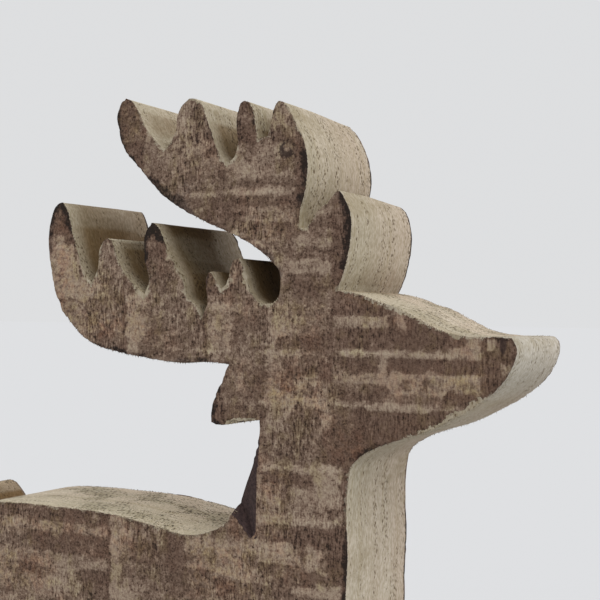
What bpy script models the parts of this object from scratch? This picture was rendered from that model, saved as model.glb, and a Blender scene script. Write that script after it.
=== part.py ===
"""A reindeer sawn from one thick plank, standing on a low strip of the same plank.

The figure's outline lies in the XZ plane with the snout towards +X, and the plank's
thickness runs along Y. The origin is on the ground, under the middle of the figure.
"""

import math

import bmesh
import bpy
from mathutils import Matrix, Vector

# Driving sizes, in metres
FIGURE_HEIGHT = 0.2325      # from the top of the strip to the highest tine
PLANK_THICKNESS = 0.040
BASE_HEIGHT = 0.009         # the strip that is left under the hooves
BASE_MARGIN = 0.008         # how far the strip runs out past the hooves
EDGE_WEAR = 0.0005          # rounding of the sawn edges
SPLIT_DEPTH = 0.0045        # how deep the split at the nape is at its lower left corner

CURVE_STEPS = 3             # straight pieces between two points of the pattern
WEAR_STEPS = 1
CUT_OVERRUN = 0.002         # how far the split's floor runs on outside the wood
WELD_DISTANCE = 1e-6
SHORTEST_EDGE = 0.00003     # what the split's cut leaves shorter than this is made one point
FLAT_ANGLE = math.radians(0.1)
SMOOTH_ANGLE = math.radians(35)

# The saw pattern, in millimetres on a sheet where the figure is PATTERN_HEIGHT tall,
# with x from the middle and z from the top of the strip. Each stroke runs from one
# sharp corner to the next, and the points between its ends are smooth.
PATTERN_HEIGHT = 232.5

HIND_HEEL = (-89.5, 0)
FORE_TOE = (51.5, 0)

RUMP = [HIND_HEEL, (-89, 26), (-92, 43), (-90.5, 58), (-95.5, 78), (-95, 92), (-92.5, 101)]
TAIL = [(-92.5, 101), (-96.5, 104.5), (-98.5, 108.5), (-96, 112.5), (-90.5, 114.5),
        (-87.5, 113), (-84.5, 109.5)]
BACK = [(-84.5, 109.5), (-79, 110.5), (-70, 113), (-61, 114.5), (-38, 115), (-19, 114.5),
        (-4, 112.5), (6, 111), (14, 112.5), (19, 115.5), (23, 120.5), (26, 127.5),
        (28.5, 135.5), (29.5, 140), (29.5, 143.5)]
EAR_UNDERSIDE = [(29.5, 143.5), (23, 142.5), (17.5, 141.5)]
EAR_TIP = [(17.5, 141.5), (15, 142), (14.5, 145.5), (15.5, 149.5), (18, 154.5), (19.5, 158)]

# The lower antler: along its underside to the end tine, then back over the tines
LOWER_BEAM = [(19.5, 158), (13, 158.5), (4, 158), (-6, 159), (-16.5, 160.5), (-27.5, 163.5),
              (-34.5, 169), (-38.5, 174.5), (-41, 181.5), (-42.5, 191), (-42, 199),
              (-40, 203), (-38, 204), (-36.5, 202.5), (-34.5, 196.5), (-31.5, 187.5),
              (-29.5, 183.5), (-27, 180.5)]
LOWER_TINE_2 = [(-27, 180.5), (-24.5, 184), (-24, 190), (-22.5, 192.5), (-21, 193),
                (-19.5, 191.5), (-18, 188), (-15.5, 183.5), (-12, 180), (-8, 177)]
LOWER_TINE_3 = [(-8, 177), (-7, 181), (-8.5, 187.5), (-8.5, 192), (-7.5, 195.5), (-5.5, 197),
                (-3.5, 195.5), (-1, 190), (2, 185), (4.5, 181), (6, 176), (9, 174),
                (11, 170.5)]
LOWER_TINE_4 = [(11, 170.5), (12.5, 175), (12, 181), (13, 183), (15, 181), (17, 178.5)]
LOWER_TINE_5 = [(17, 178.5), (19, 180.5), (20, 184.5), (22, 186.5), (24, 184), (25.5, 179.5),
                (28, 175.5), (32, 174.5), (34.5, 176), (35.5, 180), (34.5, 183.5),
                (31.5, 186.5)]

# The upper antler in the same order
UPPER_BEAM = [(31.5, 186.5), (27, 190), (19.5, 193.5), (10, 197.5), (3, 201), (-3.5, 205.5),
              (-9.5, 211.5), (-15.5, 218), (-18, 225), (-18, 229), (-16.5, 232), (-14.5, 232.5),
              (-12.5, 231), (-8, 223.5), (-5, 220), (-2, 217.5)]
UPPER_TINE_2 = [(-2, 217.5), (1.5, 221.5), (2.5, 227), (4.5, 230), (7.5, 231), (10, 229.5),
                (11.5, 226), (13.5, 221), (15.5, 216), (19, 212.5)]
UPPER_TINE_3 = [(19, 212.5), (21.5, 215), (21.5, 224), (22.5, 228), (24, 229), (26, 227.5),
                (27, 223), (28, 218.5)]
UPPER_NOTCH = [(28, 218.5), (31, 219)]
UPPER_TINE_4 = [(31, 219), (32.5, 224.5), (34, 228), (36, 227.5), (39, 223), (42, 217),
                (43, 211.5), (42.5, 204.5), (41, 199), (40.5, 194.5)]
BROW_TINE = [(40.5, 194.5), (43, 194.5), (46, 198.5), (50, 201.5), (52, 203.5), (53.5, 202),
             (55.5, 197.5), (55.5, 190.5), (54.5, 185), (52, 178)]

FOREHEAD = [(52, 178), (58, 177), (64, 175), (69, 173.5), (76, 170), (82, 167.5), (90, 166.5),
            (96.5, 166.5), (98.5, 166), (99.5, 163), (98.5, 159.5), (96.5, 156), (92, 151.5),
            (84, 146.5), (76, 142.5), (67, 139.5), (59.5, 136), (56.5, 133), (55.5, 129), (55, 121),
            (55.5, 110), (55, 100), (55, 90), (54.5, 76), (52.5, 55), (52, 28), FORE_TOE]

OUTLINE = [RUMP, TAIL, BACK, EAR_UNDERSIDE, EAR_TIP, LOWER_BEAM, LOWER_TINE_2, LOWER_TINE_3,
           LOWER_TINE_4, LOWER_TINE_5, UPPER_BEAM, UPPER_TINE_2, UPPER_TINE_3, UPPER_NOTCH,
           UPPER_TINE_4, BROW_TINE, FOREHEAD]

# What is sawn out between the legs, down to the strip
HIND_GAP = [(-79.5, 0), (-79, 24), (-76, 43), (-73, 50), (-70, 43), (-66.5, 24), (-65.5, 0)]
BELLY_GAP = [(-55.5, 0), (-56, 28), (-54, 48), (-48, 61), (-37, 67.5), (-15, 69),
             (4, 66), (12.5, 58), (16.5, 42), (17.5, 24), (17.5, 0)]
FORE_GAP = [(27.5, 0), (28, 24), (31, 46), (34.5, 53), (38, 46), (41, 24), (41.5, 0)]

# Where the split at the nape meets the front face: its lowest point, straight above
# which it runs out on the face, its lower left corner, and a point clear above it
SPLIT_FOOT = (28.5, 110.5)
SPLIT_CORNER = (22, 118.5)
SPLIT_TOP = (28.5, 138)


def clear_scene():
    for obj in list(bpy.data.objects):
        bpy.data.objects.remove(obj)


def new_collection(name):
    collection = bpy.data.collections.new(name)
    bpy.context.scene.collection.children.link(collection)
    return collection


def on_plank(point):
    """A point of the pattern at its real place, as x and z in metres."""
    scale = FIGURE_HEIGHT / PATTERN_HEIGHT
    return point[0] * scale, BASE_HEIGHT + point[1] * scale


def base_corners():
    """The strip's corners, from the fore hoof round underneath to the hind one."""
    front = on_plank(FORE_TOE)[0] + BASE_MARGIN
    back = on_plank(HIND_HEEL)[0] - BASE_MARGIN
    return [(front, BASE_HEIGHT), (front, 0.0), (back, 0.0), (back, BASE_HEIGHT)]


def stroke_points(strokes):
    """Each point once, as (x, z, is_corner). The strokes follow each other."""
    points = []
    for stroke in strokes:
        for index, point in enumerate(stroke[:-1]):
            points.append((*on_plank(point), index == 0))
    points.append((*on_plank(strokes[-1][-1]), True))
    return points


def add_spline(curve, points):
    """A closed Bezier spline in the curve's XY plane, sharp at the corners."""
    spline = curve.splines.new("BEZIER")
    spline.bezier_points.add(len(points) - 1)
    for knot, (x, z, is_corner) in zip(spline.bezier_points, points):
        knot.co = (x, z, 0.0)
        knot.handle_left_type = "VECTOR" if is_corner else "AUTO"
        knot.handle_right_type = knot.handle_left_type
    spline.use_cyclic_u = True
    spline.resolution_u = CURVE_STEPS


def mesh_from_curve(obj, collection):
    """A mesh object in place of the curve object, with the caps welded on."""
    graph = bpy.context.evaluated_depsgraph_get()
    mesh = bpy.data.meshes.new_from_object(obj.evaluated_get(graph))
    work = bmesh.new()
    work.from_mesh(mesh)
    bmesh.ops.remove_doubles(work, verts=work.verts, dist=WELD_DISTANCE)
    inside_caps = [edge for edge in work.edges
                   if all(abs(face.normal.z) > 0.5 for face in edge.link_faces)]
    bmesh.ops.dissolve_limit(work, angle_limit=FLAT_ANGLE, verts=[], edges=inside_caps)
    plain = [vertex for vertex in work.verts if len(vertex.link_edges) == 3]
    across_sides = [edge for edge in work.edges if all(vertex in plain for vertex in edge.verts)
                    and abs(edge.verts[0].co.z - edge.verts[1].co.z) > PLANK_THICKNESS / 2]
    rims = [vertex for edge in across_sides for vertex in edge.verts]
    bmesh.ops.dissolve_limit(work, angle_limit=FLAT_ANGLE, verts=rims, edges=across_sides)
    work.to_mesh(mesh)
    work.free()
    name, place = obj.name, obj.matrix_world.copy()
    bpy.data.objects.remove(obj)
    mesh.name = name
    solid = bpy.data.objects.new(name, mesh)
    solid.matrix_world = place
    collection.objects.link(solid)
    return solid


def sawn_figure(collection):
    """The outline as a flat curve, as thick as the plank and stood upright."""
    curve = bpy.data.curves.new("reindeer", "CURVE")
    curve.dimensions = "2D"
    curve.fill_mode = "BOTH"
    curve.extrude = PLANK_THICKNESS / 2
    outer = stroke_points(OUTLINE) + [(x, z, True) for x, z in base_corners()]
    add_spline(curve, outer)
    for gap in (HIND_GAP, BELLY_GAP, FORE_GAP):
        add_spline(curve, stroke_points([gap]))
    obj = bpy.data.objects.new("reindeer", curve)
    obj.rotation_euler = (math.pi / 2, 0.0, 0.0)
    collection.objects.link(obj)
    bpy.context.view_layer.update()
    return mesh_from_curve(obj, collection)


def wear_edges(figure):
    """Rounds every edge between a flat face of the plank and a sawn side."""
    work = bmesh.new()
    work.from_mesh(figure.data)
    weight = work.edges.layers.float.new("bevel_weight_edge")
    for edge in work.edges:
        on_plank_face = [abs(face.normal.y) > 0.5 for face in edge.link_faces]
        edge[weight] = float(on_plank_face.count(True) == 1)
    work.to_mesh(figure.data)
    work.free()
    bevel = figure.modifiers.new("Worn edges", "BEVEL")
    bevel.limit_method = "WEIGHT"
    bevel.width = EDGE_WEAR
    bevel.segments = WEAR_STEPS
    bevel.use_clamp_overlap = False
    bevel.loop_slide = False


def split_axes():
    """The split's own directions: up its lower edge, out of its floor, and across both."""
    foot_x, foot_z = on_plank(SPLIT_FOOT)
    corner_x, corner_z = on_plank(SPLIT_CORNER)
    out = Vector((-SPLIT_DEPTH, corner_x - foot_x, 0.0)).normalized()
    edge = Vector((corner_x - foot_x, 0.0, corner_z - foot_z))
    along = (edge - out * edge.dot(out)).normalized()
    return along, out, along.cross(out)


def split_at_nape(figure, shift, cutters):
    """Takes off the corner of wood that split away along the grain."""
    foot_x, foot_z = on_plank(SPLIT_FOOT)
    top_x, top_z = on_plank(SPLIT_TOP)
    along, out, across = split_axes()
    reach = Vector((top_x - foot_x, 0.0, top_z - foot_z))
    size = (reach.dot(along) + CUT_OVERRUN, PLANK_THICKNESS / 2, reach.dot(across))
    place = Matrix((along, out, across)).transposed().to_4x4()
    place.translation = (foot_x + shift, -PLANK_THICKNESS / 2, foot_z)
    bpy.ops.mesh.primitive_cube_add(size=1.0)
    cutter = bpy.context.object
    cutter.name = "nape_split_cutter"
    for holder in list(cutter.users_collection):
        holder.objects.unlink(cutter)
    cutters.objects.link(cutter)
    start = Matrix.Translation((-CUT_OVERRUN, 0.0, 0.0))
    from_corner = Matrix.Translation((0.5, 0.5, 0.5))
    cutter.data.transform(place @ start @ Matrix.Diagonal((*size, 1.0)) @ from_corner)
    cutter.hide_render = True
    cutter.display_type = "WIRE"
    cut = figure.modifiers.new("Split at the nape", "BOOLEAN")
    cut.operation = "DIFFERENCE"
    cut.object = cutter
    tidy = figure.modifiers.new("Short edges", "WELD")
    tidy.merge_threshold = SHORTEST_EDGE


def stained_wood():
    material = bpy.data.materials.new("Stained rough-sawn wood")
    material.use_nodes = True
    shader = material.node_tree.nodes["Principled BSDF"]
    shader.inputs["Base Color"].default_value = (0.171, 0.122, 0.088, 1.0)
    shader.inputs["Roughness"].default_value = 0.85
    shader.inputs["Metallic"].default_value = 0.0
    return material


def main():
    clear_scene()
    parts = new_collection("Reindeer figurine")
    cutters = new_collection("Cutters")
    figure = sawn_figure(parts)
    figure.data.transform(figure.matrix_world)
    figure.matrix_world = Matrix.Identity(4)
    across = [vertex.co.x for vertex in figure.data.vertices]
    shift = -(min(across) + max(across)) / 2
    figure.data.transform(Matrix.Translation((shift, 0.0, 0.0)))
    wear_edges(figure)
    split_at_nape(figure, shift, cutters)
    figure.data.materials.append(stained_wood())
    figure.data.shade_smooth()
    figure.data.set_sharp_from_angle(angle=SMOOTH_ANGLE)


main()
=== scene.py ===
import math
import random
from types import SimpleNamespace

import bpy
import numpy as np
from mathutils import Matrix, Vector, noise
from mathutils.bvhtree import BVHTree
from mathutils.kdtree import KDTree


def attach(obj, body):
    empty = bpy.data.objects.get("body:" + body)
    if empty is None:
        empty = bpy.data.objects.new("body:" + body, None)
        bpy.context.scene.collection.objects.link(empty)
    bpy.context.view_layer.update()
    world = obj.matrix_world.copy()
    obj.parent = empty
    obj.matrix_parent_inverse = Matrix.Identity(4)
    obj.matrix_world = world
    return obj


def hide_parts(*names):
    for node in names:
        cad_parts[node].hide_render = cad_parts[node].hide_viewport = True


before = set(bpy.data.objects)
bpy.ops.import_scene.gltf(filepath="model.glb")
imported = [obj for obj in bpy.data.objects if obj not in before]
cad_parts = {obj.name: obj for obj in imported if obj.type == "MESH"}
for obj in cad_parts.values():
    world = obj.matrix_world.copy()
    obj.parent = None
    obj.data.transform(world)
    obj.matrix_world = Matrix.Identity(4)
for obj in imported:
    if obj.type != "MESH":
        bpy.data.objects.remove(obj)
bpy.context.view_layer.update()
print("Frame loaded")


# Camera, standing right of the reindeer and looking past its head to the left
cameraView = {
    "place": (0.1810, -0.2860, 0.1795),
    "toRight": (0.8849, 0.4658, 0.0086),
    "toBack": (0.4658, -0.8847, -0.0163),
    "lens": 69.18,
    "sensor": 36.0,
    "clipStart": 0.01,
}


def addCamera(view):
    back = Vector(view["toBack"]).normalized()
    right = Vector(view["toRight"])
    right = (right - back * right.dot(back)).normalized()
    turn = Matrix((right, back.cross(right), back)).transposed().to_4x4()
    bpy.ops.object.camera_add()
    camera = bpy.context.object
    camera.name = "Camera"
    camera.matrix_world = Matrix.Translation(view["place"]) @ turn
    camera.data.lens = view["lens"]
    camera.data.sensor_width = view["sensor"]
    camera.data.clip_start = view["clipStart"]
    bpy.context.scene.camera = camera


addCamera(cameraView)
print("Camera placed")


# Small helpers for materials
def colour(red, green, blue):
    def linear(value):
        value /= 255
        return value / 12.92 if value <= 0.04045 else ((value + 0.055) / 1.055) ** 2.4
    return (linear(red), linear(green), linear(blue), 1.0)


def connect(tree, socket, value):
    if isinstance(value, bpy.types.NodeSocket):
        tree.links.new(value, socket)
    else:
        socket.default_value = value


def sumUp(tree, operation, *values, clamp=False):
    node = tree.nodes.new("ShaderNodeMath")
    node.operation = operation
    node.use_clamp = clamp
    for socket, value in zip(node.inputs, values):
        connect(tree, socket, value)
    return node.outputs[0]


def plus(tree, first, second):
    return sumUp(tree, "ADD", first, second)


def times(tree, first, second, clamp=False):
    return sumUp(tree, "MULTIPLY", first, second, clamp=clamp)


def timesPlus(tree, value, factor, extra):
    return sumUp(tree, "MULTIPLY_ADD", value, factor, extra)


def remap(tree, value, fromLow, fromHigh, toLow=0.0, toHigh=1.0, kind="SMOOTHSTEP"):
    node = tree.nodes.new("ShaderNodeMapRange")
    node.interpolation_type = kind
    for socket, number in zip(node.inputs, (value, fromLow, fromHigh, toLow, toHigh)):
        connect(tree, socket, number)
    return node.outputs[0]


def grainNoise(tree, place, stretch, detail=2.0, roughness=0.6, shift=(0.0, 0.0, 0.0)):
    mapping = tree.nodes.new("ShaderNodeMapping")
    mapping.inputs["Location"].default_value = shift
    mapping.inputs["Scale"].default_value = stretch
    tree.links.new(place, mapping.inputs["Vector"])
    texture = tree.nodes.new("ShaderNodeTexNoise")
    texture.inputs["Scale"].default_value = 1.0
    texture.inputs["Detail"].default_value = detail
    texture.inputs["Roughness"].default_value = roughness
    tree.links.new(mapping.outputs[0], texture.inputs["Vector"])
    return texture.outputs[0]


# Round pores of the given radius, in parts of their spacing
def poreDots(tree, place, stretch, radius):
    mapping = tree.nodes.new("ShaderNodeMapping")
    mapping.inputs["Scale"].default_value = stretch
    tree.links.new(place, mapping.inputs["Vector"])
    texture = tree.nodes.new("ShaderNodeTexVoronoi")
    texture.inputs["Scale"].default_value = 1.0
    tree.links.new(mapping.outputs[0], texture.inputs["Vector"])
    return remap(tree, texture.outputs["Distance"], radius, times(tree, radius, 0.6))


def blend(tree, amount, first, second, kind="MIX"):
    node = tree.nodes.new("ShaderNodeMix")
    node.data_type = "RGBA"
    node.blend_type = kind
    connect(tree, node.inputs[0], amount)
    connect(tree, node.inputs[6], first)
    connect(tree, node.inputs[7], second)
    return node.outputs[2]


def rampOf(tree, value, stops, kind="LINEAR"):
    node = tree.nodes.new("ShaderNodeValToRGB")
    node.color_ramp.interpolation = kind
    elements = node.color_ramp.elements
    while len(elements) < len(stops):
        elements.new(0.5)
    for element, (position, shade) in zip(elements, stops):
        element.position = position
        element.color = shade
    tree.links.new(value, node.inputs[0])
    return node.outputs[0]


# The sawn reindeer. The places further down are in millimetres too, x towards the snout
# and z up from the ground
reindeer = {
    # In metres
    "faceAt": 0.020,
    "bevel": 0.0005,
    "frontLayer": 0.0006,
    "weldGap": 0.000002,
    "sampleStep": 0.0004,
    "cornerReach": 0.003,
    "lastTines": (0.030, 0.195),
    "mostRounding": 0.0011,
    # In millimetres
    "faceLayer": 0.45,
    "sawPitch": 7.2,
    "sawDepth": 0.16,
    "ridgeHeight": 0.16,
    "roughness": 0.13,
    "stainDepth": 0.10,
    "mostSink": 0.5,
    "sideWaves": 0.05,
    "flatFoot": 0.4,             # the sides stay plain up to here
    "rimNibble": 0.32,
    "nibbleWidth": (0.9, 1.2),   # across the face, and down the side
    "chipWidth": 2.5,
    "backReach": 5.0,            # how far the saw cut corners on the far side
    "driftEdge": 6.0,
    "onOutline": 0.45,           # a point this near the outline lies on it
    "roundedFrom": -4.0,         # the rounding grows from here to the back face
    "roundedWidth": 3.5,
    # Shares, counts and an angle in degrees
    "cellDepth": 8,
    "cellScale": 0.63,           # larger gives finer cells
    "smoothing": (0.6, -0.62),   # in, then out again, so that nothing shrinks
    "smoothingRounds": 8,
    "smoothAngle": 38,
    "seed": 7,
}

# left, right, bottom, top, tone, which runs from -1, darkest stain, to 1, rubbed bare
stainPatches = {
    "head": [
        (31, 36, 150, 180, 0.3), (33, 50, 180, 184.8, -0.15), (50, 67, 180.6, 186.5, -0.8),
        (32, 41, 174.6, 180, 0.45), (41, 50, 175, 180, -0.1), (50, 59.5, 177.6, 180.6, 0.5),
        (50, 55, 176.4, 178, 0.3), (59.5, 71, 178, 180.6, 0.4), (66.2, 67.6, 177.2, 180, -0.7),
        (69, 71.4, 176.2, 179, 0.6), (66.8, 71, 180.8, 184, 0.3), (71, 76, 176.4, 181.4, -0.8),
        (76, 82, 171.6, 179.4, -0.8), (82, 86.8, 173, 177, -0.85),
        (51, 76, 171.7, 177.4, -0.75), (34, 51, 171, 175.2, -0.55),
        (50, 81.4, 169.9, 171.6, 0.45), (82, 90.6, 169.9, 173, 0.55),
        (86.8, 90, 172.6, 176, 0.6), (51.4, 63.8, 165.4, 169.6, -0.6),
        (63.8, 65.4, 166, 169.6, 0.2), (65.4, 75, 166.4, 169.9, -0.8),
        (75, 95, 166.4, 169.9, -0.85), (35, 47, 164.8, 169.5, -0.5),
        (46.8, 50, 163.6, 168.6, -0.85), (50, 66, 162.6, 165.8, 0.35),
        (66, 80.6, 160.8, 166.2, 0.4), (80.6, 92, 162, 166.3, 0.55), (90, 98, 161, 166.6, -0.8),
        (52, 66, 158.6, 162.8, -0.5), (66, 81, 158.6, 160.6, -0.35),
        (80.6, 94, 158.2, 161.8, -0.8), (36, 48, 158, 164, 0.0), (36, 82, 156.8, 158.2, 0.5),
        (38, 47.6, 150, 156.6, -0.4), (48, 50, 150, 157, 0.35), (50, 60, 150.6, 156.6, -0.45),
        (57, 80.6, 145, 156.6, -0.9), (80, 84.2, 153.6, 157.4, -0.85),
        (84.2, 91, 154, 158.6, 0.5), (90.6, 99.5, 169, 176.6, -0.85),
        (91.6, 93.9, 172, 175.6, 0.8), (70.4, 72.2, 161.4, 164.6, -0.5),
        (74.6, 76.6, 161.6, 165.2, -0.45), (49.8, 51, 150, 182, -0.6),
    ],
    "neck": [
        (29, 48, 141, 150, -0.2), (48, 60, 142, 151, -0.6), (30, 47, 139.6, 141, 0.4),
        (30.6, 35.4, 136, 139.4, -0.5), (36, 45.6, 135.6, 139.4, -0.5),
        (29, 46, 127.6, 135.6, 0.12), (46, 53.4, 127.4, 139.6, 0.35),
        (50, 53.2, 128, 130.4, -0.5), (29, 46, 125.6, 127.4, 0.45),
        (37, 54, 120.8, 125.8, -0.6), (29, 37, 121, 125.4, -0.1), (29, 42, 115, 120, 0.4),
        (43, 47.6, 114, 120.4, 0.5), (42, 43, 112, 121, -0.5), (29, 41, 110, 115, -0.35),
        (42, 50, 109.6, 113.8, -0.5), (46, 52, 108.4, 111.6, 0.35), (50, 55.6, 111, 126, -0.75),
        (30, 56, 100, 108, -0.3), (53.6, 56.4, 96, 142, -0.7), (36.4, 37.6, 128, 136, -0.5),
        (18, 23.6, 121.6, 128, -0.25),
    ],
    "body": [
        (-100, -20, 119.6, 124.4, -0.65), (-28.4, -25.8, 120.4, 124.4, -1.0),
        (-25.4, -24.2, 120.4, 124, 0.2), (-23.6, -22.4, 120, 124.4, -1.0),
        (-21.6, -20.6, 119.6, 124.4, -0.9), (-100, -20, 116.4, 119.6, 0.2),
        (-50, -20, 110.9, 116.2, -0.55), (-100, -50, 110.9, 117, -0.2),
        (-100, -20, 106.6, 110.6, 0.2), (-39, -33, 102.6, 106.4, 0.45),
        (-30, -20, 99, 106.8, -0.5), (-20.6, -19.4, 98, 120, -1.0),
        (-19.4, -16, 98, 119.4, 0.4), (-16, -10, 104, 118, -0.1), (-12, -4, 111, 117.4, -0.5),
        (-4, 0, 116.4, 120.4, 0.45), (-4, 0, 111, 116, -0.45), (-10, 0, 99, 110.6, -0.1),
        (-0.6, 0.5, 111, 121, -1.0), (0.4, 7, 109.6, 121, -0.7), (0.4, 7, 96, 109.2, -0.5),
        (5.8, 10.4, 115.6, 119.6, 0.55), (8, 27, 111.4, 117.6, 0.12),
        (7, 16, 108.6, 111.6, -0.4), (16, 30, 110, 112, 0.3), (10, 30, 102, 109.4, -0.25),
        (14.6, 15.2, 112, 119, -0.5), (-14.2, -13.2, 119, 123, -0.8),
        (-10.4, -9.2, 118.6, 122.4, -0.8), (3, 5, 119, 121.4, -0.9),
    ],
    "ear": [
        (14, 29, 150, 168, -0.3), (28, 31.3, 171, 182, -0.55), (28, 30.6, 150, 170, -0.45),
        (14, 17.5, 149, 160, -0.85), (14, 22, 149, 152.6, -0.7), (22, 24, 160, 164, 0.4),
    ],
    "lowerAntler": [
        (-43, -33, 203.6, 214, -0.6), (-38.6, -35.6, 205, 213, -0.95),
        (-40, -33.6, 192, 203, 0.45), (-36.4, -32.6, 200, 203.2, -0.85),
        (-43, -40, 190, 203, 0.1), (-42, -22, 184.6, 192, 0.3), (-32, -22, 188, 192, 0.3),
        (-40, -16, 183.8, 184.5, -0.5), (-40, -30, 174, 183.6, 0.15),
        (-30, -15.6, 170, 183.6, -0.25), (-24.5, -15.5, 186, 202, -0.3),
        (-16.2, -14.9, 168, 191, -1.0), (-15, -10, 169, 188, 0.35), (-13, -6, 173, 179.4, 0.45),
        (-8, 10.6, 168, 184, -0.35), (-10, -1, 193, 208, -0.95), (-8, 3, 184, 197, -0.4),
        (10.6, 12.4, 170, 182, -0.75), (12.6, 20, 170, 184, 0.28), (12.5, 26, 184, 196, -0.35),
        (11.6, 15.8, 186, 193, -0.9), (20, 31, 170, 184, -0.25),
        (-24.6, -23.4, 170.4, 175.6, -0.85), (-14, -11.4, 186, 189.5, -0.8),
        (-33, -20, 168, 172.4, -0.35), (-20, -18, 178, 182, -0.1), (21.6, 22.8, 171, 181, -0.8),
        (26.2, 27.4, 171, 180, -0.7),
    ],
    "upperAntler": [
        (-20, -10, 221, 243, -0.45), (-16, -10, 222, 228.6, -0.6),
        (-10.4, -9.2, 219, 233, -1.0), (-9, 1, 214, 230, 0.05), (2, 6.4, 230.6, 238.4, 0.35),
        (6.4, 14, 226, 241, -0.2), (1, 12, 225, 230.6, 0.0), (4, 36, 212.8, 213.8, 0.5),
        (6, 40, 209.4, 212.6, -0.5), (8, 20, 214, 222, -0.05), (20, 38.6, 217.6, 226, 0.2),
        (20, 39, 214.6, 217, -0.35), (21, 27.6, 227, 240, -0.6), (28, 32, 222, 228, 0.1),
        (32, 37.6, 230, 239, 0.35), (36.4, 41.6, 225.6, 233.4, -0.5),
        (39.4, 44, 204, 226, -0.8), (8, 25, 202.6, 209, -0.5), (25, 39, 205, 209.2, 0.25),
        (34, 52, 200.6, 204.8, -0.4), (40, 51, 197.8, 200.6, 0.35),
        (37, 50, 194.8, 197.8, -0.5), (38, 50, 191.4, 194.6, 0.45), (36, 50, 187, 191.2, -0.45),
        (49.6, 57, 186, 214, -0.7), (53.4, 57, 188, 212, -0.9), (15.4, 17, 216, 226, -0.5),
        (34.8, 37.2, 218.4, 223, -0.6),
    ],
}

# left, right, bottom, top, how warm
warmPatches = [
    (-41, -33, 180, 203, 0.6), (-33, -20, 182, 192, 0.45), (-18, -9, 229, 240, 0.5),
    (-100, -40, 99, 110, 0.6), (-100, -20, 116, 120, 0.6), (7, 28, 104, 119, 0.6),
    (29, 37, 110, 140, 0.5), (12, 20, 172, 184, 0.3), (66, 80, 160, 166, 0.5),
    (36, 42, 221, 228, 0.4), (0, 20, 218, 230, 0.25), (30, 44, 110, 120, 0.4),
    (59, 71, 178, 181, 0.5), (25, 39, 205, 209, 0.4), (80, 92, 161, 167, 0.7),
    (82, 92, 170, 177, 0.4), (33, 48, 168, 184, 0.35), (49, 66, 162, 167, 0.3),
]

# The saw's light ridges: height, from x, to x
sawRidges = [
    (110.6, -100, 54), (126.6, 28, 54), (140.4, 30, 50), (157.5, 36, 82), (170.8, 49, 82),
    (183.2, -34, -15), (185.3, 34, 54), (200.2, 30, 52), (213.3, 1, 42),
]

# Small chips on the near edge of the back: x, z, radius, depth
edgeChips = [
    (-24.5, 123.2, 1.8, 0.9), (-21.0, 123.0, 1.3, 0.8), (-13.6, 121.9, 1.4, 0.7),
    (-9.0, 121.3, 1.1, 0.6), (0.2, 120.4, 1.4, 0.8), (-33.0, 123.6, 1.4, 0.5),
    (85.5, 157.2, 2.4, 0.6), (-12.2, 187.6, 1.8, 0.7), (-15.8, 180.0, 1.0, 0.5),
]

# left, right, bottom, top, how burnt the rim looks there, or how bare where it is below 0
burntRims = [
    (-24, -3, 203, 225, 1.8), (-3, 8, 203, 219, 1.5), (-21, -15, 220, 243, 0.9),
    (27, 40, 190, 207, 0.7), (38, 45, 208, 227, 0.95), (51, 58, 190, 214, 1.1),
    (-12, 0, 195, 208, 2.0), (11, 16, 187, 194, 0.7), (12, 19, 148, 162, 0.9),
    (18.5, 26.5, 146, 152, -2.8), (52, 58, 96, 126, 0.9), (-27.5, -19, 118, 126, 0.45),
    (91, 101, 158, 178, 0.45), (50, 68, 143, 153, 0.6), (68, 73, 148, 154, -0.35),
    (72, 82, 150, 156, -0.7), (-44, 15, 166, 172.5, 0.75), (19, 29, 226, 240, 0.5),
    (9, 15, 224, 237, 0.5), (-44, -33, 196, 215, 0.7), (-43, -34, 204, 215, 1.5),
    (-20, -11, 230, 243, 0.6), (81, 95, 153, 162, -1.0), (-7, 1, 184, 200, -0.9),
    (-13, -2, 180, 188, -0.9), (-31, -24, 186, 201, -0.8), (14, 26, 180, 192, -0.8),
    (24, 34, 181, 187, -0.8), (-12, -1, 220, 240, -0.5), (15, 22, 218, 228, -0.7),
    (26, 34, 222, 230, -0.6), (64, 74, 178, 186, -0.7), (82, 92, 173, 178, -0.7),
    (39, 45, 199, 206, -0.5),
]

# left, right, bottom, top, how much painted shade and dirt darken the sawn side there, or
# lighten it below 0
shadeAndDirtPlaces = [
    (-44, -26, 178, 215, 0.32), (-27, -8, 176, 194, 0.14), (-9, 12, 170, 192, 0.08),
    (-102, -83, 108, 126, 0.42), (-20, -8, 226, 240, 0.18), (39, 47, 200, 230, -0.30),
    (40, 50, 202, 212, -0.40), (26, 33, 226, 240, -0.25), (-6, 5, 224, 242, -0.18),
    (-2, 4, 222, 229, 0.30), (16, 24, 219, 226, 0.25), (28, 37, 182, 196, 0.10),
]

# Where the blade left the square, on the far side: left, right, bottom, top, along x, up
bladeDrift = [
    (-16, 12, 186, 212, 1.3, 0.2), (28, 60, 186, 237, 0.9, 0.0), (-44, -20, 190, 216, 0.3, 0.5),
]

# How far the nape swells over the split, between which heights and left of which line
napeSwell = {"most": 1.7, "bottom": 123.0, "top": 147.0, "left": 17.0, "right": 28.0}

splitPlace = {
    "foot": (28.0, 119.5),
    "corner": (21.5, 127.5),
    "top": 147.0,
    "runsOnTo": 152.0,
    "depth": 4.5,
    "lean": 0.04,
    "bluntness": 1.7,
}
knotPlace = {"x": 36.6, "z": 224.4, "radius": 1.7, "stretch": 1.2,
              "openBetween": (0.2616, 0.2624)}
slotPlace = {"x": 95.7, "z": 173.6, "width": 0.8, "height": 2.1}

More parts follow.
